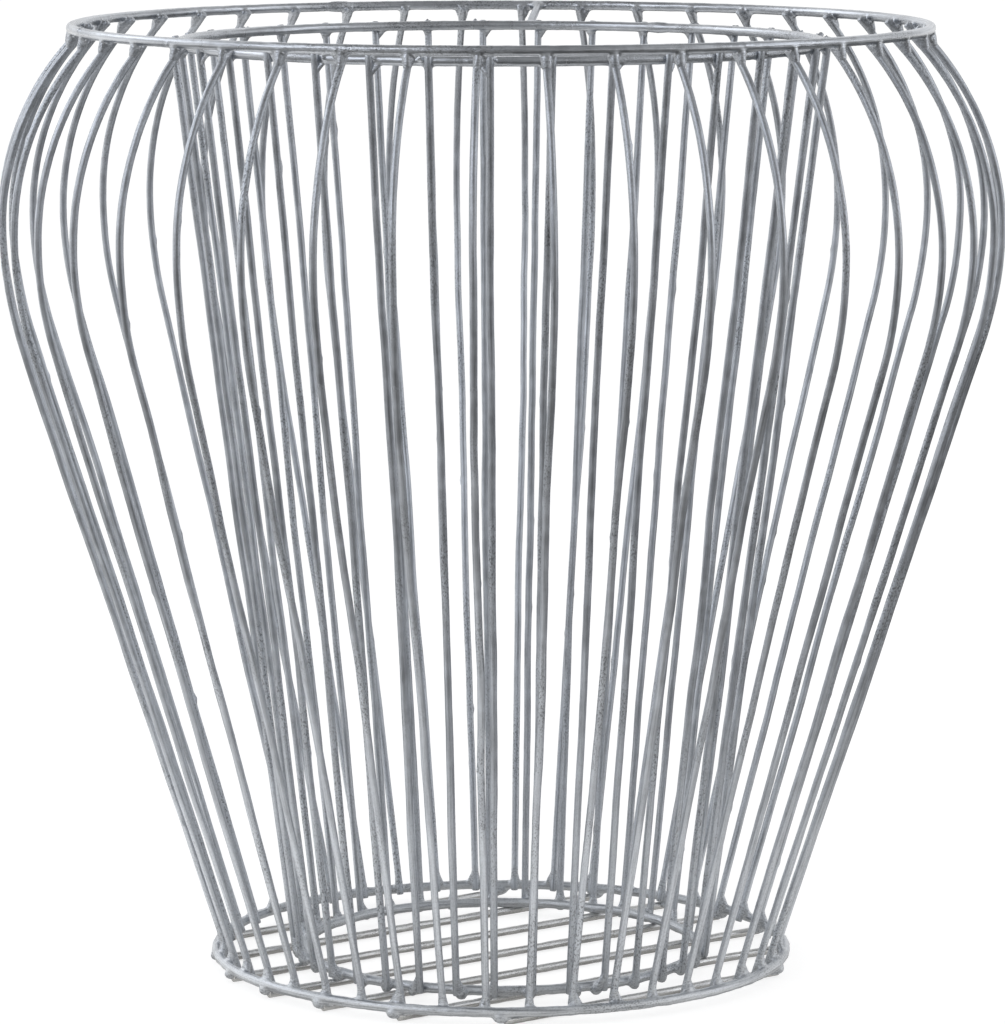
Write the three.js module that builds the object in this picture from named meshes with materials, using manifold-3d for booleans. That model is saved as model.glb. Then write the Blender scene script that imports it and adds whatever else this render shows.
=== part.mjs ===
// Wire gabion planter: an urn of bent galvanised wires round a straight-sided wire basket.
// A plant pot stands in the inner basket and stones fill the space between the two walls.
// Millimetres, +Z up. The origin is on the floor under the middle of the base, and the front faces -Y.
import * as THREE from 'three';
import { mergeVertices } from 'three/addons/utils/BufferGeometryUtils.js';
import loadManifold from 'manifold-3d';

// Wire stock, as diameters
const RING_WIRE = 4.2;
const UPRIGHT_WIRE = 3.0;
const BAR_WIRE = 3.0;
const TIE_WIRE = 3.0;

// Room left between two pieces for the skin of weld and zinc that joins them
const WELD_GAP = 0.3;
// How deep the inner uprights are sunk into the inner rim, which is one piece with them
const WELD_BITE = 1;

// Rings, to the middle of their wire
const RIM_RADIUS = 175;
const RIM_HEIGHT = 389;
const BASE_RADIUS = 118.7;
const INNER_RIM_RADIUS = 131.2;
const INNER_RIM_DROP = 6.6;
const INNER_BASE_RADIUS = 82;

// Outer uprights: their number and first angle, the widest point of the belly below the rim,
// the bend under the belly, and the short end that runs on past the rim
const OUTER_COUNT = 42;
const OUTER_START = 5.6;
const BELLY_RADIUS = 204.5;
const BELLY_DROP = 80.5;
const LOWER_BEND_RADIUS = 150;
const RIM_OVERRUN = 3;

// Inner uprights: their number and first angle
const INNER_COUNT = 35;
const INNER_START = 8.5;

// How far above the base bars the lower ends of all uprights stop
const TOE_LIFT = 0.8;

// Base bars: their number, spacing, and turn from the left-right line
const BAR_COUNT = 7;
const BAR_SPACING = 31.7;
const BAR_TURN = 37.5;

// Rim tie: a short bar across the back, between the sides of the two rims that face each other
const TIE_ANGLE = 174.6;

// Facets
const RING_STEPS = 60;
const RING_SIDES = 8;
const UPRIGHT_SIDES = 6;
const BAR_SIDES = 8;
const LOWER_BEND_STEPS = 2;
const UPPER_BEND_STEPS = 6;
const SAME_POINT = 1e-3;

// Zinc as [colour, roughness]: bright on the rings, darker on the uprights, warmer on the bars
const RING_ZINC = ['#a4a9ae', 0.42];
const UPRIGHT_ZINC = ['#8d949b', 0.45];
const BAR_ZINC = ['#a6a49f', 0.5];
const ZINC_METALNESS = 0.9;

// Levels and seats that follow from the sizes above
const baseHeight = BAR_WIRE + WELD_GAP + RING_WIRE / 2;
const innerRimHeight = RIM_HEIGHT - INNER_RIM_DROP;
const toeHeight = BAR_WIRE + TOE_LIFT;
const uprightSeat = (RING_WIRE + UPRIGHT_WIRE) / 2 + WELD_GAP;
const tieSeat = RING_WIRE / 2 + WELD_GAP;

const { degToRad } = THREE.MathUtils;
const wasm = await loadManifold();
wasm.setup();

const planter = new THREE.Group();

function addPiece(name, geometry, [color, roughness]) {
  const finish = new THREE.MeshStandardMaterial({ color, roughness, metalness: ZINC_METALNESS });
  const piece = new THREE.Mesh(geometry, finish);
  piece.name = name;
  planter.add(piece);
  return piece;
}

// Turn about +Z that takes a piece drawn along +X to an angle counted from the front towards +X
const turnFromFront = (degrees) => degToRad(degrees - 90);

// Path through points of an upright plane, given as (distance along X, height).
// Its steps end at those points, however far apart they lie.
class WirePath extends THREE.Curve {
  constructor(points) {
    super();
    this.points = points;
  }

  getPoint(t) {
    const last = this.points.length - 1;
    const before = Math.min(Math.floor(t * last), last - 1);
    const spot = this.points[before].clone().lerp(this.points[before + 1], t * last - before);
    return new THREE.Vector3(spot.x, 0, spot.y);
  }

  getUtoTmapping(u) {
    return u;
  }
}

// Many-sided section of a wire, with its first corner turned by an angle from its upper side
function sectionWithCorners(cornerRadius, sides, firstCorner) {
  const corners = [];
  for (let side = 0; side < sides; side += 1) {
    const angle = firstCorner + 2 * Math.PI * side / sides;
    corners.push(new THREE.Vector2(-Math.sin(angle), Math.cos(angle)).multiplyScalar(cornerRadius));
  }
  return new THREE.Shape(corners);
}

// Section of an upright, with a corner towards the rings that it meets
const uprightSection = () => sectionWithCorners(UPRIGHT_WIRE / 2, UPRIGHT_SIDES, 0);

// Section of a wire that lies on a flat, as thick as the wire from flat to flat
function flatUpSection(diameter, sides) {
  const halfSide = Math.PI / sides;
  return sectionWithCorners(diameter / 2 / Math.cos(halfSide), sides, halfSide);
}

function wireAlong(points, section) {
  const extrudePath = new WirePath(points);
  return new THREE.ExtrudeGeometry(section, { steps: points.length - 1, bevelEnabled: false, extrudePath });
}

// Closed ring of wire, lying flat at a height
function wireRing(radius, height) {
  const section = new THREE.EllipseCurve(radius, 0, RING_WIRE / 2, RING_WIRE / 2).getPoints(RING_SIDES);
  const ring = new THREE.LatheGeometry(section, RING_STEPS);
  ring.rotateX(Math.PI / 2);
  ring.translate(0, 0, height);
  return ring;
}

// Outer upright. The two bends meet upright at the belly. The upper one is as wide as it must be to
// pass just under the rim, and the leg leaves the lower one straight for the inner side of the base ring.
function outerUprightPoints() {
  const bellyHeight = RIM_HEIGHT - BELLY_DROP;
  const inset = BELLY_RADIUS - RIM_RADIUS;
  const upperRadius = (inset ** 2 + BELLY_DROP ** 2 - uprightSeat ** 2) / (2 * (inset + uprightSeat));
  const upperMiddle = BELLY_RADIUS - upperRadius;
  const rimAngle = Math.atan2(BELLY_DROP, RIM_RADIUS - upperMiddle);
  const endAngle = rimAngle + RIM_OVERRUN / upperRadius;
  const upperBend = new THREE.EllipseCurve(upperMiddle, bellyHeight, upperRadius, upperRadius, 0, endAngle);

  const lowerMiddle = new THREE.Vector2(BELLY_RADIUS - LOWER_BEND_RADIUS, bellyHeight);
  const ringMiddle = new THREE.Vector2(BASE_RADIUS, baseHeight);
  const toRing = ringMiddle.clone().sub(lowerMiddle);
  const legTurn = Math.acos((LOWER_BEND_RADIUS + uprightSeat) / toRing.length());
  const legAngle = Math.atan2(toRing.y, toRing.x) + legTurn;
  const lowerBend = new THREE.EllipseCurve(
    lowerMiddle.x, lowerMiddle.y, LOWER_BEND_RADIUS, LOWER_BEND_RADIUS, legAngle, 0);

  const lowerPoints = lowerBend.getPoints(LOWER_BEND_STEPS);
  const upperPoints = upperBend.getPoints(UPPER_BEND_STEPS).slice(1);
  const legTop = lowerPoints[0];
  const foot = new THREE.Vector2(legTop.x + (legTop.y - toeHeight) * Math.tan(legAngle), toeHeight);
  return [foot, ...lowerPoints, ...upperPoints];
}

// Inner upright: a straight wire on the outside of both inner rings, level with the top of the inner rim
function innerUprightPoints() {
  const rimSeat = new THREE.Vector2(INNER_RIM_RADIUS + uprightSeat - WELD_GAP - WELD_BITE, innerRimHeight);
  const baseSeat = new THREE.Vector2(INNER_BASE_RADIUS + uprightSeat, baseHeight);
  const atHeight = (height) => {
    const share = (height - baseSeat.y) / (rimSeat.y - baseSeat.y);
    return baseSeat.clone().lerp(rimSeat, share);
  };
  return [atHeight(toeHeight), atHeight(innerRimHeight + RING_WIRE / 2)];
}

// Closed solid of a geometry, for joining
function solidOf(geometry) {
  const bare = geometry.clone();
  bare.deleteAttribute('normal');
  bare.deleteAttribute('uv');
  const merged = mergeVertices(bare, SAME_POINT);
  const vertProperties = merged.attributes.position.array;
  const triVerts = new Uint32Array(merged.index.array);
  return new wasm.Manifold(new wasm.Mesh({ numProp: 3, vertProperties, triVerts }));
}

function geometryOf(solid) {
  const { vertProperties, triVerts } = solid.getMesh();
  const geometry = new THREE.BufferGeometry();
  geometry.setAttribute('position', new THREE.BufferAttribute(vertProperties, 3));
  geometry.setIndex(new THREE.BufferAttribute(triVerts, 1));
  return geometry;
}

function addOuterCage() {
  addPiece('outer_rim', wireRing(RIM_RADIUS, RIM_HEIGHT), RING_ZINC);
  addPiece('outer_base_ring', wireRing(BASE_RADIUS, baseHeight), RING_ZINC);
  const upright = wireAlong(outerUprightPoints(), uprightSection());
  for (let index = 0; index < OUTER_COUNT; index += 1) {
    const number = String(index + 1).padStart(2, '0');
    const piece = addPiece(`outer_wire_${number}`, upright, UPRIGHT_ZINC);
    piece.rotation.z = turnFromFront(OUTER_START + 360 * index / OUTER_COUNT);
  }
}

function addInnerBasket() {
  const upright = wireAlong(innerUprightPoints(), uprightSection());
  let basket = solidOf(wireRing(INNER_RIM_RADIUS, innerRimHeight));
  for (let index = 0; index < INNER_COUNT; index += 1) {
    const turned = upright.clone().rotateZ(turnFromFront(INNER_START + 360 * index / INNER_COUNT));
    basket = basket.add(solidOf(turned));
  }
  addPiece('inner_rim_with_wires', geometryOf(basket), UPRIGHT_ZINC);
  addPiece('inner_base_ring', wireRing(INNER_BASE_RADIUS, baseHeight), RING_ZINC);
}

// Parallel bars under both base rings, each cut to end under the wire of the outer one
function addBaseBars() {
  const section = flatUpSection(BAR_WIRE, BAR_SIDES);
  const bars = new THREE.Group();
  bars.rotation.z = degToRad(BAR_TURN);
  planter.add(bars);
  for (let index = 0; index < BAR_COUNT; index += 1) {
    const aside = BAR_SPACING * (index - (BAR_COUNT - 1) / 2);
    const half = Math.sqrt(BASE_RADIUS ** 2 - aside ** 2);
    const ends = [new THREE.Vector2(-half, BAR_WIRE / 2), new THREE.Vector2(half, BAR_WIRE / 2)];
    const bar = addPiece(`base_bar_${index + 1}`, wireAlong(ends, section), BAR_ZINC);
    bar.position.y = aside;
    bars.add(bar);
  }
}

function addRimTie() {
  const innerMiddle = new THREE.Vector2(INNER_RIM_RADIUS, innerRimHeight);
  const outerMiddle = new THREE.Vector2(RIM_RADIUS, RIM_HEIGHT);
  const outwards = outerMiddle.clone().sub(innerMiddle).setLength(tieSeat);
  const ends = [innerMiddle.add(outwards), outerMiddle.sub(outwards)];
  const tie = wireAlong(ends, flatUpSection(TIE_WIRE, BAR_SIDES));
  addPiece('rim_tie', tie, BAR_ZINC).rotation.z = turnFromFront(TIE_ANGLE);
}

addOuterCage();
addInnerBasket();
addBaseBars();
addRimTie();

export default planter;
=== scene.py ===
# %% [markdown]
# # A wire gabion planter, welded and dipped in zinc
#
# The real object is an urn of two wire cages, one inside the other. Stones fill the space between them and
# a plant pot stands in the middle. Every wire was cut, bent and welded bare, and then the whole cage was
# dipped in molten zinc. So there are two things to model: wire that is a little lumpy under its coat, and
# welds that have run into the corners between the wires.
#
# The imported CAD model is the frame. It says where each wire is. This lesson makes each wire again with a
# round, coated surface, in the same place and in metres, and lets the new piece stand for the CAD node.

# %% Load the frame
import math
import random

import bmesh
import bpy
from mathutils import Matrix, Vector


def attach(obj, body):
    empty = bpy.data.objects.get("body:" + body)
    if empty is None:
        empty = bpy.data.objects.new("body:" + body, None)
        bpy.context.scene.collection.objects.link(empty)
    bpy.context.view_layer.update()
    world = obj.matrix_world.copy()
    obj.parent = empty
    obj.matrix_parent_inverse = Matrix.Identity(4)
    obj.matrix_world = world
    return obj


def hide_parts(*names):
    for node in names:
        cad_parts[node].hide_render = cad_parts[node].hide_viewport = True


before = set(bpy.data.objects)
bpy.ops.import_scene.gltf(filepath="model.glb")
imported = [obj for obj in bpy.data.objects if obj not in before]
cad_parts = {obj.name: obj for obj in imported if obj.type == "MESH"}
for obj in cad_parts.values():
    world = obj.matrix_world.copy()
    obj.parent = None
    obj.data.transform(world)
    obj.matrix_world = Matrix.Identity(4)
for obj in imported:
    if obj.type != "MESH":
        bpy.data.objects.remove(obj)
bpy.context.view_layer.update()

# %% [markdown]
# ## The sizes of the cage
#
# A bender would write down few numbers for this cage: the wire, the four rings, and the widest place of the
# belly. The rest follows from them, and is worked out where it is needed. Each ring is written as its radius
# and its height. Blender works in metres, so every size is a number of millimetres times MM.

# %% Sizes
MM = 0.001
WIRE = 3.0 * MM
RING_WIRE = 4.2 * MM
RIM = (175 * MM, 389 * MM)
INNER_RIM = (131.2 * MM, 382.4 * MM)
BASE = (118.7 * MM, 5.4 * MM)
INNER_BASE = (82 * MM, 5.4 * MM)
BELLY = (204.5 * MM, 308.5 * MM)


def at(ring):
    """The middle of a ring's wire where it crosses the +X axis."""
    radius, height = ring
    return Vector((radius, 0, height))


print("rim to base ring:", round((RIM[1] - BASE[1]) / MM, 1), "mm")

# %% [markdown]
# ## The camera
#
# The photograph was taken from a step back and a little above the rim. The four rings are circles, so
# their ellipses in the picture fix the distance, the height and the tilt. A long lens gives the flat look
# of a product picture.

# %% Camera
CAMERA_PLACE = (0, -2.1667, 0.5038)
CAMERA_TILT = 8.279
LENS, SENSOR_WIDTH, SIDE_SHIFT = 186.1, 36, 0.0015

scene = bpy.context.scene
scene.view_settings.view_transform = "Standard"


def deselect():
    bpy.ops.object.select_all(action="DESELECT")


deselect()
bpy.ops.object.camera_add(location=CAMERA_PLACE, rotation=(math.radians(90 - CAMERA_TILT), 0, 0))
camera = bpy.context.object
camera.data.lens = LENS
camera.data.sensor_width = SENSOR_WIDTH
camera.data.shift_x = SIDE_SHIFT
scene.camera = camera
print("camera", [round(n, 3) for n in camera.location], "lens", camera.data.lens)

# %% [markdown]
# ## One function for nodes, one for colours
#
# Every finish below is a tree of nodes. One small function adds a node, sets its values and joins its
# inputs, and one turns a colour written as sRGB hex into the linear light that Blender works in.

# %% Helpers for finishes
def add_node(tree, kind, inputs=None, **settings):
    """Adds a node. An input is a value, a socket, or a node whose first output feeds it."""
    made = tree.nodes.new(kind)
    for key, value in settings.items():
        setattr(made, key, value)
    for socket, value in (inputs or {}).items():
        if isinstance(value, bpy.types.Node):
            value = value.outputs[0]
        if isinstance(value, bpy.types.NodeSocket):
            tree.links.new(value, made.inputs[socket])
        else:
            made.inputs[socket].default_value = value
    return made


def linear(hex_colour):
    channels = [int(hex_colour[i:i + 2], 16) / 255 for i in (1, 3, 5)]
    return [c / 12.92 if c <= 0.04045 else ((c + 0.055) / 1.055) ** 2.4 for c in channels] + [1.0]


print("middle grey in linear light:", round(linear("#808080")[0], 3))

# %% [markdown]
# ## The floor that the camera sees
#
# The planter stands on white. A floor that is lit up to white would need so much light that the zinc would
# burn out too. So the floor glows by itself for rays that come straight from the camera, and the rest of
# its white is ordinary reflected light, which the object's shadow takes away.

# %% Floor for the camera
FLOOR_SIZE = 24
FLOOR_DROP = 0.3 * MM
FLOOR_GLOW = 0.76

deselect()
bpy.ops.mesh.primitive_plane_add(size=FLOOR_SIZE, location=(0, 0, -FLOOR_DROP))
floor = bpy.context.object
floor.name = "floor"

paper = bpy.data.materials.new("matt white paper sweep")
paper.use_nodes = True
tree = paper.node_tree
tree.nodes.clear()
rays = add_node(tree, "ShaderNodeLightPath")
glow = add_node(tree, "ShaderNodeMath", {0: rays.outputs["Is Camera Ray"], 1: FLOOR_GLOW},
                operation="MULTIPLY")
light = add_node(tree, "ShaderNodeEmission", {"Color": linear("#FFFFFF"), "Strength": glow})
matt = add_node(tree, "ShaderNodeBsdfDiffuse", {"Color": linear("#9E9E9E")})
plain = add_node(tree, "ShaderNodeAddShader", {0: light, 1: matt})
print("floor:", floor.name, "of", paper.name)

# %% [markdown]
# ## The floor that metal sees
#
# Metal shows what is round it, so the paper has a second face, for mirror rays alone. That face glows by itself,
# and its light and shade are painted into the glow. It is bright close to the planter, apart from a painted
# shade of the planter in the middle, and bright at the back, where the paper turns up into a white backdrop.
# At the left and far to the right it is half bright, and there is a weak painted pool of lamplight at the right.
# In front it is dark, and that is why the wires in front, which lean out over the floor, are darker than the
# ones at the back. Each zone fades in between two distances in metres.

# %% Floor for metal
BACKDROP_WAY = (-0.5, 0.87, 0)
PATCH_MIDDLE = (-0.1, 0, 0)
DARK_FLOOR = 0.12
NEAR_LIGHT, POOL_LIGHT, LEFT_LIGHT, FAR_LIGHT, BACK_LIGHT = 1.0, 0.15, 0.3, 0.35, 0.7

spot = add_node(tree, "ShaderNodeTexCoord").outputs["Object"]
spot_x = add_node(tree, "ShaderNodeSeparateXYZ", {0: spot}).outputs["X"]
reach = add_node(tree, "ShaderNodeVectorMath", {0: spot}, operation="LENGTH").outputs["Value"]
off_patch = add_node(tree, "ShaderNodeVectorMath", {0: spot, 1: PATCH_MIDDLE}, operation="DISTANCE")
backwards = add_node(tree, "ShaderNodeVectorMath", {0: spot, 1: BACKDROP_WAY}, operation="DOT_PRODUCT")

# Painted shade: under the planter the glow dims to a fifth, like the planter's shadow.
painted_shade_end = add_node(tree, "ShaderNodeMapRange",
                     {"Value": reach, "From Min": 0.11, "From Max": 0.17, "To Min": 0.2})
patch_end = add_node(tree, "ShaderNodeMapRange",
                     {"Value": off_patch.outputs["Value"], "From Min": 0.45, "From Max": 0.22})
near = add_node(tree, "ShaderNodeMath", {0: painted_shade_end, 1: patch_end}, operation="MULTIPLY")
# A painted pool of lamplight on the floor at the right of the planter.
pool_start = add_node(tree, "ShaderNodeMapRange", {"Value": spot_x, "From Min": 0.1, "From Max": 0.3})
pool_end = add_node(tree, "ShaderNodeMapRange", {"Value": reach, "From Min": 0.6, "From Max": 0.42})
painted_pool = add_node(tree, "ShaderNodeMath", {0: pool_start, 1: pool_end}, operation="MULTIPLY")
left = add_node(tree, "ShaderNodeMapRange", {"Value": spot_x, "From Min": -0.1, "From Max": -0.6})
far_right = add_node(tree, "ShaderNodeMapRange", {"Value": spot_x, "From Min": 0.8, "From Max": 1.5})
back = add_node(tree, "ShaderNodeMapRange",
                {"Value": backwards.outputs["Value"], "From Min": 0.45, "From Max": 0.95})

bright = DARK_FLOOR
for zone, strength in ((near, NEAR_LIGHT), (painted_pool, POOL_LIGHT), (left, LEFT_LIGHT), (far_right, FAR_LIGHT),
                       (back, BACK_LIGHT)):
    bright = add_node(tree, "ShaderNodeMath", {0: zone, 1: strength, 2: bright}, operation="MULTIPLY_ADD")
mirror_face = add_node(tree, "ShaderNodeEmission", {"Color": linear("#FFFEFC"), "Strength": bright})


def mirror_rays(tree, rays):
    """1 for the rays by which metal or glass looks out, 0 for all others."""
    return add_node(tree, "ShaderNodeMath",
                    {0: rays.outputs["Is Glossy Ray"], 1: rays.outputs["Is Transmission Ray"]},
                    operation="MAXIMUM")


both = add_node(tree, "ShaderNodeMixShader", {0: mirror_rays(tree, rays), 1: plain, 2: mirror_face})
add_node(tree, "ShaderNodeOutputMaterial", {"Surface": both})
floor.data.materials.append(paper)
print("floor nodes:", len(tree.nodes))

# %% [markdown]
# ## The room
#
# The world is white for the camera, and an even soft light for anything matt. Metal sees a room in it: the
# white backdrop at the back, up to its top edge, a low bright strip at the right, and the rest dim, a little
# lighter at the left and the right. Ways are unit vectors here, so their parts run from -1 to 1. A Mix node
# has inputs for each kind of data: 0 is its factor, 2 and 3 are two numbers, and 6 and 7 are two colours.

# %% World
SOFT_ROOM = 0.8
DIM_ROOM, DIM_LEFT, DIM_RIGHT = 0.28, 0.37, 0.47

world = bpy.data.worlds.new("white sweep in a dim room")
scene.world = world
world.use_nodes = True
tree = world.node_tree
tree.nodes.clear()
rays = add_node(tree, "ShaderNodeLightPath")
way = add_node(tree, "ShaderNodeTexCoord").outputs["Generated"]
ways = add_node(tree, "ShaderNodeSeparateXYZ", {0: way})
way_x, way_z = ways.outputs["X"], ways.outputs["Z"]
backwards = add_node(tree, "ShaderNodeVectorMath", {0: way, 1: BACKDROP_WAY}, operation="DOT_PRODUCT")

backdrop_edge = add_node(tree, "ShaderNodeMapRange",
                         {"Value": backwards.outputs["Value"], "From Min": 0.26, "From Max": 0.42})
backdrop_top = add_node(tree, "ShaderNodeMapRange", {"Value": way_z, "From Min": 0.8, "From Max": 0.6})
backdrop = add_node(tree, "ShaderNodeMath", {0: backdrop_edge, 1: backdrop_top}, operation="MULTIPLY")
strip_edge = add_node(tree, "ShaderNodeMapRange", {"Value": way_x, "From Min": 0.6, "From Max": 0.85})
strip_top = add_node(tree, "ShaderNodeMapRange", {"Value": way_z, "From Min": 0.4, "From Max": 0.15})
strip = add_node(tree, "ShaderNodeMath", {0: strip_edge, 1: strip_top}, operation="MULTIPLY")
white_parts = add_node(tree, "ShaderNodeMath", {0: backdrop, 1: strip}, operation="MAXIMUM")

dim = add_node(tree, "ShaderNodeMapRange", {"Value": way_x, "From Min": -0.25, "From Max": -0.6,
                                            "To Min": DIM_ROOM, "To Max": DIM_LEFT})
dim = add_node(tree, "ShaderNodeMapRange", {"Value": way_x, "From Min": 0.25, "From Max": 0.6,
                                            "To Min": dim, "To Max": DIM_RIGHT})
room = add_node(tree, "ShaderNodeMapRange", {"Value": white_parts, "To Min": dim, "To Max": 1.0})
lit = add_node(tree, "ShaderNodeMix", {0: mirror_rays(tree, rays), 2: SOFT_ROOM, 3: room})
shown = add_node(tree, "ShaderNodeMix", {0: rays.outputs["Is Camera Ray"], 2: lit, 3: 1.0})
white = add_node(tree, "ShaderNodeBackground", {"Color": linear("#FFFFFF"), "Strength": shown})
add_node(tree, "ShaderNodeOutputWorld", {"Surface": white})
print("world:", world.name, "with", len(tree.nodes), "nodes")

# %% [markdown]
# ## Soft boxes
#
# Wire is a mirror that is bent round: each wire shows a thin line of every lamp in the room. The photograph
# has bright lines on the left of the wires and the upper left of the rims, and weaker ones on the right. So
# one large soft box stands in front at the left, one further back at the left, and a smaller one at the
# right. They are cool white and aim at the middle of the planter.

# %% Soft boxes
LAMP_AIM = Vector((0, 0, 0.22))
LAMP_COLOUR = linear("#F4F8FF")[:3]


def soft_box(name, place, width, height, watts):
    deselect()
    aim = LAMP_AIM - Vector(place)
    bpy.ops.object.light_add(type="AREA", location=place, rotation=aim.to_track_quat("-Z", "Y").to_euler())
    lamp = bpy.context.object
    lamp.name = name
    lamp.data.shape = "RECTANGLE"
    lamp.data.size, lamp.data.size_y = width, height
    lamp.data.energy = watts
    lamp.data.color = LAMP_COLOUR
    print(name, watts, "W")


soft_box("box_left", (-1.35, -1.2, 1.25), width=1.6, height=1.1, watts=8.5)
soft_box("box_back", (-1.6, 0.7, 1.35), width=1.4, height=0.9, watts=4)
soft_box("box_right", (1.9, -0.3, 1.0), width=0.8, height=1.4, watts=3.3)

# %% [markdown]
# ## Patterns in a coat of zinc
#
# Freshly dipped zinc never comes out even. It keeps fine lines along the drawn wire below, patches where it
# froze at different speeds, slow changes over a hand's breadth, and grit. The lines have to follow a wire
# round its bends. So each piece carries an attribute, wire_grain, with two places across the wire and one
# along it, and a pattern can be stretched along that. Weld metal is found in the same way: it lies further
# from the middle of the wire than the wire's own skin.

# %% Patterns
LINE_WIDTH, LINE_LENGTH = 0.7 * MM, 25 * MM
PATCH_SIZE, SLOW_SIZE = 7 * MM, 45 * MM
# Real grit is finer than this. It is drawn so coarse that it shows.
GRIT_WIDTH, GRIT_LENGTH = 0.6 * MM, 0.9 * MM
WIRE_SKIN, WELD_SKIN = 2.4 * MM, 3.4 * MM


def along_the_wire(tree, grain, width, length):
    stretched = add_node(tree, "ShaderNodeVectorMath", {0: grain, 1: (1 / width, 1 / width, 1 / length)},
                         operation="MULTIPLY")
    cloud = add_node(tree, "ShaderNodeTexNoise", {"Vector": stretched, "Scale": 1.0, "Detail": 2.0})
    return cloud.outputs["Fac"]


def weld_metal(tree, grain):
    across = add_node(tree, "ShaderNodeVectorMath", {0: grain, 1: (1, 1, 0)}, operation="MULTIPLY")
    from_middle = add_node(tree, "ShaderNodeVectorMath", {0: across}, operation="LENGTH")
    return add_node(tree, "ShaderNodeMapRange", {"Value": from_middle.outputs["Value"], "To Max": 0.6,
                                                 "From Min": WIRE_SKIN, "From Max": WELD_SKIN})


def speckled_stretches(tree, slow, height, crust, weld):
    """Specks lie in some stretches, low down where the zinc drained off, near the rim, and on welds."""
    stretches = add_node(tree, "ShaderNodeMapRange",
                         {"Value": slow, "From Min": 0.5, "From Max": 0.66, "To Max": 0.9})
    low_down = add_node(tree, "ShaderNodeMapRange",
                        {"Value": height, "From Min": 0.16, "From Max": 0.03, "To Max": 0.3})
    near_rim = add_node(tree, "ShaderNodeMapRange",
                        {"Value": height, "From Min": 0.27, "From Max": 0.36, "To Max": crust})
    for more in (low_down, near_rim, weld):
        stretches = add_node(tree, "ShaderNodeMath", {0: stretches, 1: more}, operation="MAXIMUM")
    return stretches


print("lines", round(LINE_WIDTH / MM, 1), "mm, patches", round(PATCH_SIZE / MM), "mm")

# %% [markdown]
# ## The finish: zinc from a hot dip
#
# The zinc is a bluish, silvery grey. Low down, where it ran thick, it is duller, and its colour there is paler,
# partly as real pale zinc and partly as painted light on the parts near the floor. Specks of dross and burnt
# weld metal are dark. It is a metal all through, so colour and roughness carry these marks, and a very small
# bump breaks up the highlights. Uprights, rings and bars are three kinds of stock and took the zinc differently:
# the rings are smoother than the uprights, and the bars brighter and less blue.

# %% Zinc
PATCHES_DULL, WELDS_DULL = 0.12, 0.15
BUMP_STRENGTH, BUMP_DEPTH = 0.45, 0.3 * MM


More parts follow.
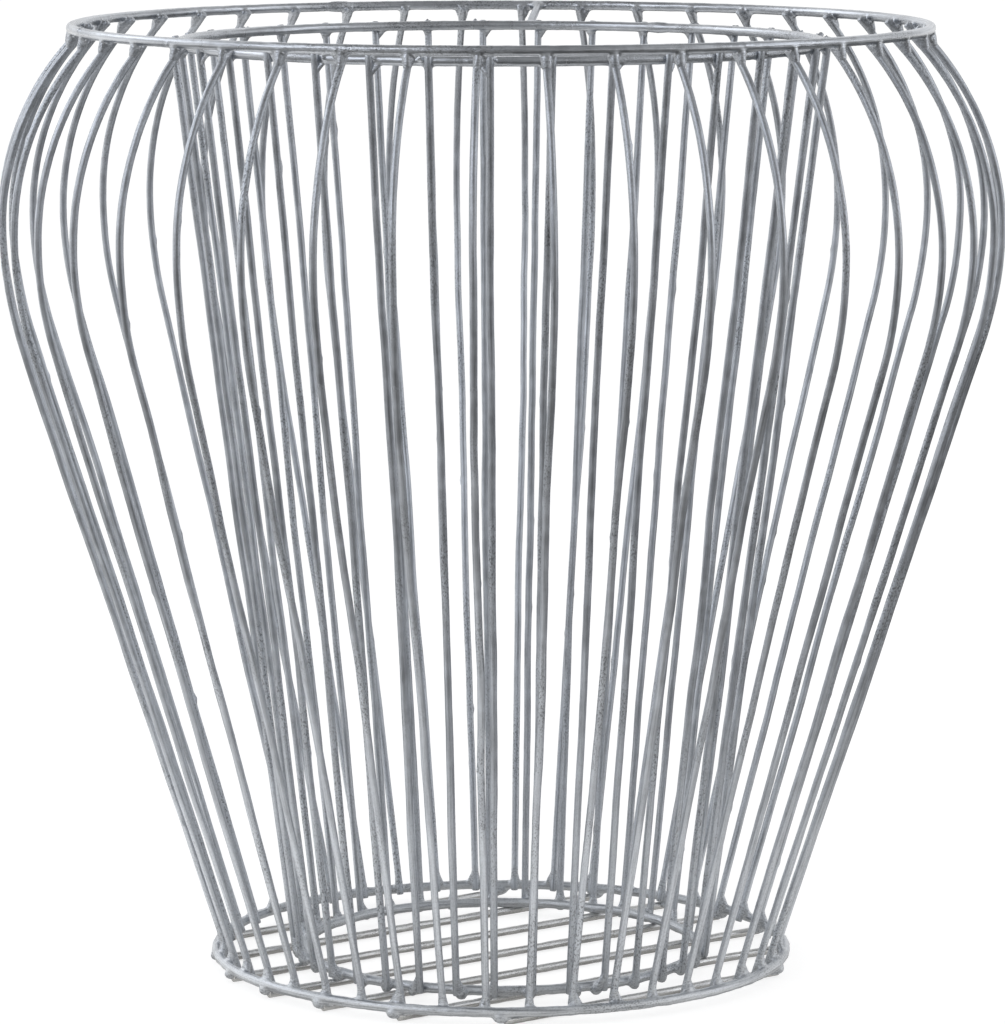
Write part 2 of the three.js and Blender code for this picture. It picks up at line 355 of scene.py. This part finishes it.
def hot_dip_zinc(name, dark, light, bloom_and_light_colour, grit, speckle, bloom_and_light_top, roughness, crust=0.1, bloom_dulls=0.14):
    """Hot-dip galvanised steel: bluish grey metal, streaked, patched and gritty."""
    zinc = bpy.data.materials.new(name)
    zinc.use_nodes = True
    tree = zinc.node_tree
    tree.nodes.clear()
    place = add_node(tree, "ShaderNodeTexCoord").outputs["Object"]
    height = add_node(tree, "ShaderNodeSeparateXYZ", {0: place}).outputs["Z"]
    grain = add_node(tree, "ShaderNodeAttribute", attribute_name="wire_grain").outputs["Vector"]
    lines = along_the_wire(tree, grain, LINE_WIDTH, LINE_LENGTH)
    gritty = along_the_wire(tree, grain, GRIT_WIDTH, GRIT_LENGTH)
    patches = add_node(tree, "ShaderNodeTexNoise", {"Vector": place, "Scale": 1 / PATCH_SIZE, "Detail": 3.0})
    slow = add_node(tree, "ShaderNodeTexNoise", {"Vector": place, "Scale": 1 / SLOW_SIZE, "Detail": 1.0})
    weld = weld_metal(tree, grain)

    mixed = add_node(tree, "ShaderNodeMath", {0: lines, 1: 1.6, 2: patches}, operation="MULTIPLY_ADD")
    mixed = add_node(tree, "ShaderNodeMath", {0: mixed, 1: slow}, operation="ADD")
    shade = add_node(tree, "ShaderNodeMapRange", {"Value": mixed, "From Min": 1.4, "From Max": 2.2})
    clean = add_node(tree, "ShaderNodeMix", {0: shade, 6: linear(dark), 7: linear(light)}, data_type="RGBA")

    # Partly painted light: low down, in streaks along the lines, the colour turns paler towards the floor. The
    # same share makes the zinc duller there, as thick zinc is.
    low = add_node(tree, "ShaderNodeMapRange", {"Value": height, "From Min": bloom_and_light_top, "From Max": 0.0})
    thick = add_node(tree, "ShaderNodeMapRange",
                     {"Value": lines, "From Min": 0.38, "From Max": 0.6, "To Min": 0.1})
    bloom_and_light_share = add_node(tree, "ShaderNodeMath", {0: low, 1: thick}, operation="MULTIPLY")
    pale = add_node(tree, "ShaderNodeMix", {0: bloom_and_light_share, 6: clean.outputs[2], 7: linear(bloom_and_light_colour)},
                    data_type="RGBA")

    stretches = speckled_stretches(tree, slow, height, crust, weld)
    specks = add_node(tree, "ShaderNodeMapRange", {"Value": gritty, "From Min": 0.49, "From Max": 0.36,
                                                   "To Min": 0.15, "To Max": speckle})
    specks = add_node(tree, "ShaderNodeMath", {0: specks, 1: stretches}, operation="MULTIPLY")
    colour = add_node(tree, "ShaderNodeMix", {0: specks, 6: pale.outputs[2], 7: linear(grit)},
                      data_type="RGBA")

    dull = add_node(tree, "ShaderNodeMapRange", {"Value": patches, "From Min": 0.3, "From Max": 0.7,
                                                 "To Min": roughness, "To Max": roughness + PATCHES_DULL})
    for mark, strength in ((bloom_and_light_share, bloom_dulls), (weld, WELDS_DULL)):
        dull = add_node(tree, "ShaderNodeMath", {0: mark, 1: strength, 2: dull}, operation="MULTIPLY_ADD")
    crumbs = add_node(tree, "ShaderNodeMath", {0: gritty, 1: stretches}, operation="MULTIPLY")
    relief = add_node(tree, "ShaderNodeMath", {0: crumbs, 1: 2.0, 2: lines}, operation="MULTIPLY_ADD")
    bump = add_node(tree, "ShaderNodeBump",
                    {"Height": relief, "Strength": BUMP_STRENGTH, "Distance": BUMP_DEPTH})
    metal = add_node(tree, "ShaderNodeBsdfPrincipled", {"Base Color": colour.outputs[2], "Metallic": 1.0,
                                                        "Roughness": dull, "Normal": bump})
    add_node(tree, "ShaderNodeOutputMaterial", {"Surface": metal})
    return zinc


upright_zinc = hot_dip_zinc("hot-dip galvanised drawn wire", "#AEB2B8", "#E0E5EC", "#E2E6EB", "#54565A",
                            speckle=0.75, bloom_and_light_top=0.15, roughness=0.37, crust=0.35)
ring_zinc = hot_dip_zinc("hot-dip galvanised ring wire", "#B2B6BC", "#DADEE4", "#F2F5F8", "#4C4E51",
                         speckle=0.6, bloom_and_light_top=0.1, roughness=0.25, bloom_dulls=0.35)
bar_zinc = hot_dip_zinc("hot-dip galvanised bar", "#BCBCBB", "#F2F2F1", "#F4F4F3", "#6E6C6A",
                        speckle=0.6, bloom_and_light_top=0.05, roughness=0.14)
print("finishes:", upright_zinc.name, "|", ring_zinc.name, "|", bar_zinc.name)

# %% [markdown]
# ## The coat itself
#
# A coat of zinc is a tenth of a millimetre thick and lies in waves, and wire that was bent by hand wanders
# by half a millimetre. Both come from the Displace modifier with a cloud texture: one pushes the surface in
# and out, the other moves the whole wire sideways. The texture is read at the piece's real place, so no two
# wires get the same lumps.

# %% Lumps and wander
LUMP_SIZE, WANDER_SIZE = 5 * MM, 90 * MM
SHARP_CORNER = math.radians(50)

lump_cloud = bpy.data.textures.new("zinc_lumps", "CLOUDS")
lump_cloud.noise_scale = LUMP_SIZE
lump_cloud.noise_depth = 2
wander_cloud = bpy.data.textures.new("hand_bent_wander", "CLOUDS")
wander_cloud.cloud_type = "COLOR"
wander_cloud.noise_scale = WANDER_SIZE


def alone(*pieces):
    """Selects these pieces and nothing else. The first is the active one."""
    deselect()
    for piece in pieces:
        piece.select_set(True)
    bpy.context.view_layer.objects.active = pieces[0]


def use_modifier(piece, kind, **settings):
    """Adds a modifier, sets it and applies it."""
    alone(piece)
    made = piece.modifiers.new(kind.lower(), kind)
    for key, value in settings.items():
        setattr(made, key, value)
    bpy.ops.object.modifier_apply(modifier=made.name)


def coat(piece, depth):
    use_modifier(piece, "DISPLACE", texture=lump_cloud, strength=depth, mid_level=0.5)
    bpy.ops.object.shade_smooth_by_angle(angle=SHARP_CORNER)


def finish_piece(piece, zinc, slot, *nodes):
    piece.data.materials.clear()
    piece.data.materials.append(zinc)
    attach(piece, "root")
    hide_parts(*nodes)


print("clouds:", lump_cloud.name, "and", wander_cloud.name)

# %% [markdown]
# ## A wire, drawn as a wire is made
#
# A wire is a round section pulled along a path. So it starts as a circle that faces along the wire. The
# straight part is one extrude, each bend is a spin about its centre, and the ends are filled and their cut
# edges rounded. The long straight faces are subdivided after that, or the lumps would have no points to
# move.

# %% Start, close and subdivide a wire
WIRE_SIDES = 12
STEP = 2.5 * MM
CUT_EDGE = 0.45 * MM


def start_wire(name, foot, way, thickness):
    deselect()
    bpy.ops.mesh.primitive_circle_add(vertices=WIRE_SIDES, radius=thickness / 2, location=foot,
                                      rotation=way.to_track_quat("Z", "Y").to_euler())
    piece = bpy.context.object
    piece.name = piece.data.name = name
    bpy.ops.object.transform_apply(location=True, rotation=True, scale=True)
    bpy.ops.object.mode_set(mode="EDIT")
    bpy.ops.mesh.select_all(action="SELECT")
    return piece


def select_edges(piece, wanted):
    """In edit mode: selects the edges for which wanted(edge) is true."""
    bpy.ops.mesh.select_mode(type="EDGE")
    bpy.ops.mesh.select_all(action="DESELECT")
    shape = bmesh.from_edit_mesh(piece.data)
    for edge in shape.edges:
        edge.select_set(wanted(edge))
    bmesh.update_edit_mesh(piece.data)


def close_wire(piece):
    bpy.ops.mesh.select_all(action="SELECT")
    bpy.ops.mesh.remove_doubles(threshold=0.01 * MM)
    bpy.ops.mesh.fill_holes(sides=0)
    bpy.ops.mesh.normals_make_consistent(inside=False)
    select_edges(piece, lambda edge: any(len(face.verts) == WIRE_SIDES for face in edge.link_faces))
    bpy.ops.mesh.bevel(offset=CUT_EDGE, segments=2, affect="EDGES")
    longest = max(edge.calc_length() for edge in bmesh.from_edit_mesh(piece.data).edges)
    if longest > 2 * STEP:
        select_edges(piece, lambda edge: edge.calc_length() > 0.9 * longest)
        bpy.ops.mesh.subdivide(number_cuts=round(longest / STEP) - 1)
    bpy.ops.object.mode_set(mode="OBJECT")


def keep_grain(piece, straightened):
    """Stores two places across the wire and one along it for every point."""
    layer = piece.data.attributes.new("wire_grain", "FLOAT_VECTOR", "POINT")
    flat = [value for vertex in piece.data.vertices for value in straightened(vertex.co)]
    layer.data.foreach_set("vector", flat)


def straight_wire(name, start, end, thickness):
    way = (end - start).normalized()
    piece = start_wire(name, start, way, thickness)
    bpy.ops.mesh.extrude_region_move(TRANSFORM_OT_translate={"value": end - start})
    close_wire(piece)
    keep_grain(piece, lambda point: ((point - start).cross(way).y, point.y, way.dot(point - start)))
    return piece


print("a wire has", WIRE_SIDES, "sides and a row of points every", round(STEP / MM, 1), "mm")

# %% [markdown]
# ## The bends of an outer upright
#
# An outer wire stands inside the base ring, leans out straight, goes round the belly in two arcs that meet
# at the widest place, and passes just under the rim. The lower bend was read off the photograph. The upper
# one and both leans follow, because the wire has to touch the two rings: its middle stays SEAT away from the
# middle of the ring's wire.

# %% Work out the bends
LOWER_BEND = 150 * MM
SEAT = 3.9 * MM

belly_inset = BELLY[0] - RIM[0]
belly_drop = RIM[1] - BELLY[1]
upper_bend = (belly_inset**2 + belly_drop**2 - SEAT**2) / (2 * (belly_inset + SEAT))
upper_centre = Vector((BELLY[0] - upper_bend, 0, BELLY[1]))
lower_centre = Vector((BELLY[0] - LOWER_BEND, 0, BELLY[1]))

to_base = at(BASE) - lower_centre
leg_lean = math.acos((LOWER_BEND + SEAT) / to_base.length) - math.atan2(-to_base.z, to_base.x)
to_rim = at(RIM) - upper_centre
rim_lean = math.atan2(to_rim.z, to_rim.x)
leg_way = Vector((-math.sin(leg_lean), 0, math.cos(leg_lean)))
rim_way = Vector((-math.sin(rim_lean), 0, math.cos(rim_lean)))
print("upper bend", round(upper_bend / MM, 2), "leg lean", round(math.degrees(leg_lean), 2),
      "rim lean", round(math.degrees(rim_lean), 2))

# %% [markdown]
# ## The outer upright
#
# One outer wire is drawn along +X: the leg from the inner side of the base ring, the gentle bend up to the
# widest place, and the tight bend in under the rim, with a few millimetres to spare past it. For its grain,
# every point is measured along the wire: down the leg, or round the bend that it is on.

# %% Draw one outer upright
TOE_HEIGHT = 3.8 * MM
RIM_OVERRUN = 3 * MM

leg_top = lower_centre + Vector((math.cos(leg_lean), 0, math.sin(leg_lean))) * LOWER_BEND
foot = leg_top - leg_way * ((leg_top.z - TOE_HEIGHT) / leg_way.z)
upper_turn = rim_lean + RIM_OVERRUN / upper_bend

outer_upright = start_wire("outer_upright", foot, leg_way, WIRE)
bpy.ops.mesh.extrude_region_move(TRANSFORM_OT_translate={"value": leg_top - foot})
for centre, bend, turn in ((lower_centre, LOWER_BEND, -leg_lean), (upper_centre, upper_bend, upper_turn)):
    bpy.ops.mesh.spin(steps=round(turn * bend / STEP), angle=turn, center=centre, axis=(0, 1, 0))
close_wire(outer_upright)


def along_outer(point):
    leg = leg_way.dot(point - leg_top)
    if leg < 0:
        return (point - leg_top).cross(leg_way).y, point.y, leg
    centre, bend = (lower_centre, LOWER_BEND) if point.z < BELLY[1] else (upper_centre, upper_bend)
    arm = point - centre
    belly_at = -leg_lean * LOWER_BEND
    return math.hypot(arm.x, arm.z) - bend, point.y, belly_at + math.atan2(arm.z, arm.x) * bend


keep_grain(outer_upright, along_outer)
print("outer upright:", len(outer_upright.data.polygons), "faces, top at",
      round(max(v.co.z for v in outer_upright.data.vertices) / MM, 1), "mm")

# %% [markdown]
# ## The inner upright
#
# An inner wire is straight. It stands on the outside of the two inner rings and leans out with them, so its
# line is set by the two places where it touches them. At the rim it bites into the ring.

# %% Draw one inner upright
INNER_SEAT = 2.6 * MM
INNER_OVERRUN = 2.1 * MM

inner_low = Vector((INNER_BASE[0] + SEAT, 0, INNER_BASE[1]))
inner_high = Vector((INNER_RIM[0] + INNER_SEAT, 0, INNER_RIM[1]))
inner_way = (inner_high - inner_low).normalized()
inner_foot = inner_low - inner_way * ((INNER_BASE[1] - TOE_HEIGHT) / inner_way.z)
inner_top = inner_high + inner_way * (INNER_OVERRUN / inner_way.z)
inner_upright = straight_wire("inner_upright", inner_foot, inner_top, WIRE)
print("inner upright:", len(inner_upright.data.polygons), "faces")

# %% [markdown]
# ## Seventy-seven wires
#
# Each copy has its own mesh, is turned to its place, and only then gets its wander, its lumps and a few
# nibs, the little points of zinc that drip back and freeze. A nib is one vertex pushed out along its normal.
# The ends of a wire are welded, so a vertex group keeps them still while the middle wanders. Angles are
# counted from the front of the planter towards its right-hand side.

# %% Copy the uprights round
OUTER_COUNT, INNER_COUNT = 42, 35
OUTER_START, INNER_START = 5.6, 8.5
WANDER = 2.4 * MM
UPRIGHT_LUMPS = 0.15 * MM
NIBS = 4
NIB_HEIGHTS = (0.2, 0.5)
draw = random.Random(42)


def turned(angle):
    """The turn about the upright axis that takes a wire drawn along +X to its place."""
    return Matrix.Rotation(math.radians(angle - 90), 4, "Z")


def copy_piece(piece, name, place):
    twin = piece.copy()
    twin.data = piece.data.copy()
    twin.name = twin.data.name = name
    twin.data.transform(place)
    bpy.context.collection.objects.link(twin)
    return twin


def free_middle(piece, low, high):
    """A vertex group that rises from 0 to 1 over a quarter of the wire at each end."""
    group = piece.vertex_groups.new(name="free_span")
    for vertex in piece.data.vertices:
        share = (vertex.co.z - low) / (high - low)
        group.add([vertex.index], max(0.0, min(1.0, 4 * share, 4 * (1 - share))), "REPLACE")


def add_nibs(piece):
    count = len(piece.data.vertices)
    for _ in range(NIBS):
        alone(piece)
        bpy.ops.object.mode_set(mode="EDIT")
        bpy.ops.mesh.select_mode(type="VERT")
        bpy.ops.mesh.select_all(action="DESELECT")
        shape = bmesh.from_edit_mesh(piece.data)
        shape.verts.ensure_lookup_table()
        shape.verts[draw.randrange(count)].select_set(True)
        bmesh.update_edit_mesh(piece.data)
        bpy.ops.transform.shrink_fatten(value=draw.uniform(*NIB_HEIGHTS) * MM)
        bpy.ops.object.mode_set(mode="OBJECT")


def set_upright(model, name, angle, *nodes):
    piece = copy_piece(model, name, turned(angle))
    use_modifier(piece, "DISPLACE", texture=wander_cloud, strength=WANDER, mid_level=0.5,
                 direction="RGB_TO_XYZ", vertex_group="free_span")
    add_nibs(piece)
    coat(piece, UPRIGHT_LUMPS)
    finish_piece(piece, upright_zinc, "galvanised_uprights", *nodes)


outer_angles = [OUTER_START + k * 360 / OUTER_COUNT for k in range(OUTER_COUNT)]
inner_angles = [INNER_START + k * 360 / INNER_COUNT for k in range(INNER_COUNT)]
free_middle(outer_upright, foot.z, RIM[1])
free_middle(inner_upright, inner_foot.z, inner_top.z)
for number, angle in enumerate(outer_angles, 1):
    set_upright(outer_upright, f"outer_upright_{number:02}", angle, f"outer_wire_{number:02}")
for number, angle in enumerate(inner_angles, 1):
    set_upright(inner_upright, f"inner_upright_{number:02}", angle, "inner_rim_with_wires")
bpy.data.objects.remove(outer_upright)
bpy.data.objects.remove(inner_upright)
print("uprights:", OUTER_COUNT, "outer and", INNER_COUNT, "inner")

# %% [markdown]
# ## Weld metal
#
# Where a wire meets a ring, steel and zinc have run into the corner and frozen as a web. Seen from the front
# it flares from the width of the wire to about twice that. Every such weld here is a small lofted body: a
# circle is extruded row by row and each row is resized. It is drawn in its own frame, in which the ring runs
# along Y through the origin, the wire runs along Z, and X points from the ring to the wire.

# %% Draw the welds
WELD_SIDES = 10
WELD_ROWS = {
    "rim_plate": [(3.8, -6.8, 1.2, 1.2), (3.4, -5.8, 1.6, 1.5), (2.9, -4.7, 2.0, 1.7),
                  (2.4, -3.4, 2.4, 1.8), (1.9, -2.0, 2.7, 1.9), (1.4, -0.7, 2.6, 2.0)],
    "rim_web": [(4.1, -6.4, 1.0, 1.1), (4.0, -5.0, 1.1, 1.8), (3.6, -3.9, 1.2, 2.8),
                (3.1, -2.9, 1.2, 3.7), (2.5, -2.0, 1.2, 4.4), (1.5, -0.8, 1.0, 4.9)],
    "rim_collar": [(4.1, -7.0, 1.45, 1.45), (4.0, -5.0, 1.6, 1.6), (3.9, -2.5, 1.7, 1.75),
                   (3.8, 0.0, 1.75, 1.8), (3.8, 2.4, 1.6, 1.6)],
    "foot_web": [(3.9, 7.2, 1.3, 1.3), (3.8, 5.7, 1.5, 1.7), (3.4, 4.4, 1.7, 2.3),
                 (2.9, 3.2, 1.9, 2.9), (2.3, 2.0, 1.9, 3.4), (1.6, 0.8, 1.6, 3.7)],
    "foot_collar": [(4.0, 8.0, 1.45, 1.45), (3.9, 4.5, 1.65, 1.7), (3.6, 1.0, 1.8, 1.95),
                    (3.5, -1.0, 1.6, 1.75), (3.5, -2.0, 0.9, 1.0)],
    "toe_bulb": [(3.9, 7.0, 1.4, 1.4), (3.8, 4.5, 1.6, 1.7), (3.4, 2.2, 2.0, 2.3),
                 (2.9, 0.0, 2.5, 3.0), (2.8, -1.6, 2.3, 2.6), (3.0, -2.8, 1.3, 1.4)],
    "bar_drop": [(0.6, -4.0, 1.4, 1.5), (1.1, -2.8, 1.9, 2.3), (1.5, -1.0, 2.3, 2.9),
                 (1.7, 0.8, 2.3, 2.8), (1.8, 2.2, 1.8, 2.1), (1.9, 3.0, 0.8, 1.0)],
    "bead": [(0, -2.2, 0.7, 0.8), (0, -1.3, 1.5, 1.6), (0.2, 0.2, 1.9, 1.9),
             (0.1, 1.5, 1.4, 1.3), (0, 2.3, 0.5, 0.5)],
    "ring_joint": [(0, -6.0, 1.9, 1.9), (0, -3.5, 2.35, 2.35), (0, 0, 2.6, 2.6),
                   (0, 3.5, 2.35, 2.35), (0, 6.0, 1.9, 1.9)],
    "tie_foot": [(0, 0, 1.8, 3.6), (0.2, 1.5, 2.0, 3.5), (0.5, 2.8, 2.0, 2.6),
                 (0.8, 4.5, 1.8, 1.9), (1.1, 6.5, 1.5, 1.5)],
    "tie_head": [(-1.0, -7.0, 1.5, 1.6), (-0.7, -5.0, 1.8, 2.2), (-0.4, -3.0, 2.0, 3.1),
                 (-0.2, -1.5, 2.1, 3.8), (0, 0, 1.8, 3.6)],
}


def draw_weld(name, rows):
    """Rows are (x, z, half depth, half width) in millimetres, from one end to the other."""
    deselect()
    x, z, depth, width = rows[0]
    bpy.ops.mesh.primitive_circle_add(vertices=WELD_SIDES, radius=MM, location=(x * MM, 0, z * MM))
    weld = bpy.context.object
    weld.name = weld.data.name = name
    bpy.ops.object.transform_apply(location=True, rotation=True, scale=True)
    bpy.ops.object.mode_set(mode="EDIT")
    bpy.ops.mesh.select_all(action="SELECT")
    bpy.ops.transform.resize(value=(depth, width, 1), center_override=(x * MM, 0, z * MM))
    for row in rows[1:]:
        move = Vector((row[0] - x, 0, row[1] - z)) * MM
        bpy.ops.mesh.extrude_region_move(TRANSFORM_OT_translate={"value": move})
        bpy.ops.transform.resize(value=(row[2] / depth, row[3] / width, 1),
                                 center_override=(row[0] * MM, 0, row[1] * MM))
        x, z, depth, width = row
    bpy.ops.mesh.select_all(action="SELECT")
    bpy.ops.mesh.fill_holes(sides=0)
    bpy.ops.mesh.normals_make_consistent(inside=False)
    bpy.ops.object.mode_set(mode="OBJECT")
    return weld


weld_shapes = {name: draw_weld(name, rows) for name, rows in WELD_ROWS.items()}
print("weld shapes:", len(weld_shapes))

# %% [markdown]
# ## Placing welds by chance
#
# No two welds of the real cage are alike. Each copy gets its own width, may be the mirror image, and slants
# to one side along the ring. The end of a weld that lies on its wire has to stay there, so a slant leaves
# one level of the weld still. Small round beads of weld metal sit near some wires, anywhere round the ring's
# section.

# %% Places for welds
SLANT = 0.45
BEAD_ASIDE = 1.6
BEAD_ROUND = (-0.9, 0.6)
BEAD_OUT = (0.8, 1.6)
BEAD_SIZES = (0.45, 0.75)


def weld_place(angle, ring, across, along, wide=1.0, slant=0.0, still=0.0):
    """Takes a weld's own frame to a ring at this angle. A slant leaves the level still where it is."""
    side = along.cross(across)
    frame_at = Matrix((across, side, along)).transposed().to_4x4()
    shape = Matrix.Diagonal((1, wide, 1, 1))
    shape[1][2] = slant
    shape[1][3] = -slant * still
    return turned(angle) @ Matrix.Translation(at(ring)) @ frame_at @ shape


def uneven_welds(shape, angles, ring, across, along, widths, still, steadier=1, sunk=0.0):
    """One weld of this shape at each angle, with its own width and slant."""
    made = []
    for angle in angles:
        wide = draw.choice((-1, 1)) * draw.uniform(*widths)
        slant = draw.uniform(-SLANT, SLANT) / steadier
        place = weld_place(angle, ring, across, along, wide, slant, still)
        made.append((shape, place @ Matrix.Translation((-sunk, 0, 0))))
    return made


def even_welds(shape, angles, ring, across, along):
    return [(shape, weld_place(angle, ring, across, along)) for angle in angles]


def beads(angles, ring):
    """A bead near each of these angles, somewhere round the ring's section."""
    made = []
    for angle in angles:
        aside = angle + draw.uniform(-BEAD_ASIDE, BEAD_ASIDE)
        around = draw.uniform(*BEAD_ROUND)
        out = Vector((math.cos(around), 0, math.sin(around)))
        on_skin = Matrix.Translation(out * draw.uniform(*BEAD_OUT) * MM)
        size = Matrix.Scale(draw.uniform(*BEAD_SIZES), 4)
        made.append(("bead", turned(aside) @ Matrix.Translation(at(ring)) @ on_skin @ size))
    return made


print("welds slant by up to", round(math.degrees(math.atan(SLANT))), "degrees")

# %% [markdown]
# ## Rings with their welds run on
#
# A ring starts as a torus. Its welds are copied to their places and joined to it. A voxel remesh then fuses
# them into one skin, as molten metal would, and a Smooth modifier draws the corners into fillets. Booleans
# would also join them, but they leave sharp lines where the metal should have flowed.

# %% Fuse a ring
VOXEL = 0.6 * MM
RING_STEPS, RING_SIDES = 360, 20
FILLET_PASSES = 7


def weld_ring(name, ring, welds, lumps, slot, *nodes):
    radius, height = ring
    deselect()
    bpy.ops.mesh.primitive_torus_add(location=(0, 0, height), major_radius=radius, major_segments=RING_STEPS,
                                     minor_radius=RING_WIRE / 2, minor_segments=RING_SIDES)
    piece = bpy.context.object
    piece.name = piece.data.name = name
    bpy.ops.object.transform_apply(location=True, rotation=True, scale=True)
    alone(piece, *[copy_piece(weld_shapes[shape], name + "_weld", place) for shape, place in welds])
    bpy.ops.object.join()
    bpy.ops.object.mode_set(mode="EDIT")
    bpy.ops.mesh.select_all(action="SELECT")
    bpy.ops.mesh.normals_make_consistent(inside=False)
    bpy.ops.object.mode_set(mode="OBJECT")
    use_modifier(piece, "REMESH", mode="VOXEL", voxel_size=VOXEL)
    use_modifier(piece, "SMOOTH", factor=0.5, iterations=FILLET_PASSES)
    keep_grain(piece, lambda point: (math.hypot(point.x, point.y) - radius, point.z - height,
                                     math.atan2(point.y, point.x) * radius))
    coat(piece, lumps)
    finish_piece(piece, ring_zinc, slot, *nodes)
    print(name, len(piece.data.polygons), "faces,", len(welds), "welds")


# %% [markdown]
# ## The two rims
#
# Under the outer rim every upright has a web in the corner, a plate over it and a collar round the wire. The
# inner uprights stand outside their rim, with a web and a bead each. Where the ends of a ring's wire were
# welded together, the ring is thicker. The tie between the rims has its own welds at the back.

# %% Rims
OUT, RIGHT, UP = Vector((1, 0, 0)), Vector((0, 1, 0)), Vector((0, 0, 1))
RIM_LUMPS = 0.25 * MM
WEB_STILL, PLATE_STILL = -7.5 * MM, -6.8 * MM
TIE_ANGLE, RIM_JOINT_ANGLE, INNER_JOINT_ANGLE = 174.6, 204, 149

rim_across = Vector((-rim_way.z, 0, rim_way.x))
welds = uneven_welds("rim_web", outer_angles, RIM, rim_across, rim_way, (0.3, 0.6), WEB_STILL)
welds += uneven_welds("rim_plate", outer_angles, RIM, rim_across, rim_way, (0.8, 1.3), PLATE_STILL,
                      steadier=3)
welds += even_welds("rim_collar", outer_angles, RIM, rim_across, rim_way)
welds += beads(outer_angles[::3], RIM)
welds += even_welds("tie_head", [TIE_ANGLE], RIM, UP, OUT)
welds += even_welds("ring_joint", [RIM_JOINT_ANGLE], RIM, UP, RIGHT)
weld_ring("outer_rim_ring", RIM, welds, RIM_LUMPS, "galvanised_rings", "outer_rim")

inner_across = Vector((inner_way.z, 0, -inner_way.x))
bead_ring = (INNER_RIM[0] + 1.4 * MM, INNER_RIM[1] + 1.2 * MM)
welds = uneven_welds("rim_web", inner_angles, INNER_RIM, inner_across, inner_way, (0.4, 0.75), WEB_STILL,
                     sunk=1.3 * MM)
welds += beads(inner_angles, bead_ring)
welds += even_welds("tie_foot", [TIE_ANGLE], INNER_RIM, UP, OUT)
welds += even_welds("ring_joint", [INNER_JOINT_ANGLE], INNER_RIM, UP, RIGHT)
weld_ring("inner_rim_ring", INNER_RIM, welds, RIM_LUMPS, "galvanised_uprights", "inner_rim_with_wires")

# %% [markdown]
# ## The inner base ring
#
# At the bottom the zinc drained off and hangs round the toes of the wires as bulbs. The coat is lumpier here
# than on the rims.

# %% Inner base ring
BASE_LUMPS = 0.5 * MM
TOE_STILL = 7 * MM

welds = uneven_welds("toe_bulb", inner_angles, INNER_BASE, inner_across, inner_way, (0.75, 1.1), TOE_STILL)
weld_ring("inner_base_ring_welded", INNER_BASE, welds, BASE_LUMPS, "galvanised_rings", "inner_base_ring")

# %% [markdown]
# ## Base bars and the outer base ring
#
# Seven straight bars lie under the two base rings, all in one direction. Each is a drawn wire like the
# others, with a thick coat, because the zinc drained down to it. Its ends are swallowed by drops of weld
# metal that hang under the outer ring and have run a little to the left along it. So these drops are fused
# with that ring, together with the webs and collars of the outer uprights.

# %% Bars and outer base ring
BAR_COUNT, BAR_SPACING, BAR_TURN = 7, 31.7 * MM, 37.5
BAR_COAT = 0.2 * MM
BAR_LUMPS = 0.4 * MM
FOOT_STILL = 7.2 * MM
DROP_TURN = -0.8
DROP_SIZES = (0.85, 1.1)

foot_across = Vector((-leg_way.z, 0, leg_way.x))
welds = uneven_welds("foot_web", outer_angles, BASE, foot_across, leg_way, (0.4, 1.0), FOOT_STILL)
welds += even_welds("foot_collar", outer_angles, BASE, foot_across, leg_way)

bar_middle = WIRE / 2 + BAR_COAT
bar_turn = Matrix.Rotation(math.radians(BAR_TURN), 4, "Z")
drop_turn = Matrix.Rotation(math.radians(DROP_TURN), 4, "Z")
for i in range(BAR_COUNT):
    offset = BAR_SPACING * (i - (BAR_COUNT - 1) / 2)
    half = math.sqrt(BASE[0]**2 - offset**2)
    bar = start_wire(f"floor_bar_{i + 1}", Vector((-half, offset, bar_middle)), OUT, 2 * bar_middle)
    bpy.ops.mesh.extrude_region_move(TRANSFORM_OT_translate={"value": (2 * half, 0, 0)})
    close_wire(bar)
    keep_grain(bar, lambda point: (point.y - offset, point.z, point.x))
    bar.data.transform(bar_turn)
    coat(bar, BAR_LUMPS)
    finish_piece(bar, bar_zinc, "galvanised_bars", f"base_bar_{i + 1}")
    for end in (-1, 1):
        lie = Matrix((UP, -end * RIGHT, end * OUT)).transposed().to_4x4()
        place = drop_turn @ bar_turn @ Matrix.Translation((end * half, offset, WIRE / 2))
        welds.append(("bar_drop", place @ lie @ Matrix.Scale(draw.uniform(*DROP_SIZES), 4)))
weld_ring("outer_base_ring_welded", BASE, welds, BASE_LUMPS, "galvanised_rings", "outer_base_ring")

# %% [markdown]
# ## The tie at the back
#
# One short bar joins the two rims at the back and keeps the inner cage in the middle. It runs from the outer
# side of the inner rim up to the inner side of the outer one, so its lower end hides behind the inner rim.
# The weld shapes have all been copied by now, so they are deleted.

# %% Tie
TIE_WIRE = WIRE + 0.4 * MM
WELD_GAP = 0.3 * MM

tie_seat = (at(RIM) - at(INNER_RIM)).normalized() * (RING_WIRE / 2 + WELD_GAP)
tie = straight_wire("tie_bar", at(INNER_RIM) + tie_seat, at(RIM) - tie_seat, TIE_WIRE)
tie.data.transform(turned(TIE_ANGLE))
coat(tie, BAR_LUMPS)
finish_piece(tie, upright_zinc, "galvanised_bars", "rim_tie")
for weld in weld_shapes.values():
    bpy.data.objects.remove(weld)
print("tie:", len(tie.data.polygons), "faces")
